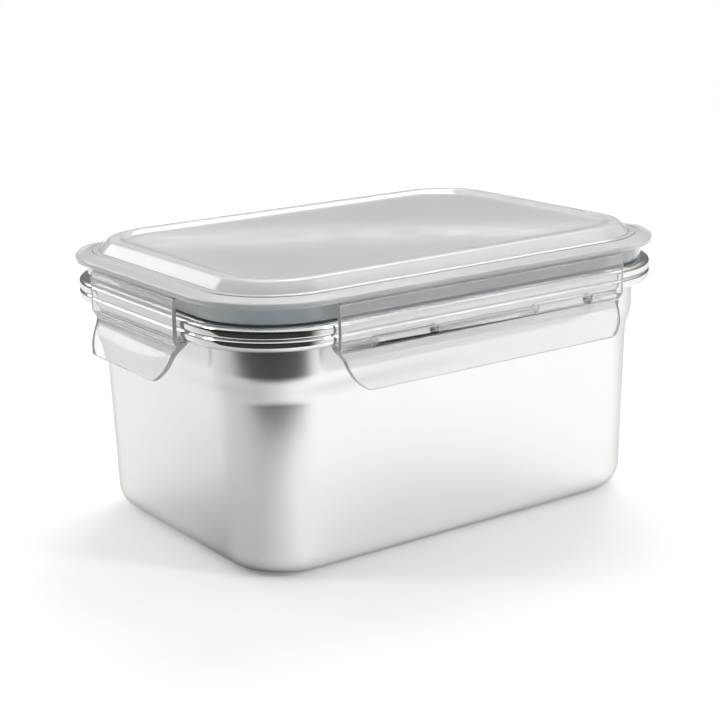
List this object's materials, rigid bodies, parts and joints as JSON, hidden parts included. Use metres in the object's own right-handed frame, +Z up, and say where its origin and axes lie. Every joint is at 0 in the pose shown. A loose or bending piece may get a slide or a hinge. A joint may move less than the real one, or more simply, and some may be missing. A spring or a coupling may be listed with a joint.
{
  "type": "lunch box",
  "caption": "Rectangular drawn-steel lunch box with a rolled rim, a clear domed lid with a seal ring, and hinged clip-lock flaps that hook under the rim.",
  "frame": {"origin": "middle of the flat base, on the table under the centre of the box", "axes": "+X along the length towards the right-hand short end, -Y towards the front long side in the picture, +Z up"},
  "size_m": [0.2116, 0.1566, 0.1051],
  "materials": {
    "steel": "satin drawn wall, polished rim",
    "clear_plastic": "clear moulded polypropylene, glossy and faintly milky",
    "silicone": "soft satin blue-grey silicone"
  },
  "bodies": {
    "tub": {"steel_tub": "steel"},
    "lid": {"lid_shell": "clear_plastic", "seal_ring": "silicone", "film_front": "clear_plastic", "film_back": "clear_plastic", "film_left": "clear_plastic", "film_right": "clear_plastic"},
    "flap_front": {"flap_front": "clear_plastic"},
    "flap_back": {"flap_back": "clear_plastic"},
    "flap_left": {"flap_left": "clear_plastic"},
    "flap_right": {"flap_right": "clear_plastic"}
  },
  "joints": [
    {"name": "lid_lift", "type": "slide", "parent": "tub", "child": "lid", "axis": [0, 0, 1], "range_m": [0, 0.09]},
    {"name": "flap_front_turn", "type": "hinge", "parent": "lid", "child": "flap_front", "pos_m": [0, -0.07305, 0.0972], "axis": [-1, 0, 0], "range_deg": [0, 110]},
    {"name": "flap_back_turn", "type": "hinge", "parent": "lid", "child": "flap_back", "pos_m": [0, 0.07305, 0.0972], "axis": [1, 0, 0], "range_deg": [0, 110]},
    {"name": "flap_left_turn", "type": "hinge", "parent": "lid", "child": "flap_left", "pos_m": [-0.10055, 0, 0.0972], "axis": [0, 1, 0], "range_deg": [0, 110]},
    {"name": "flap_right_turn", "type": "hinge", "parent": "lid", "child": "flap_right", "pos_m": [0.10055, 0, 0.0972], "axis": [0, -1, 0], "range_deg": [0, 110]}
  ]
}
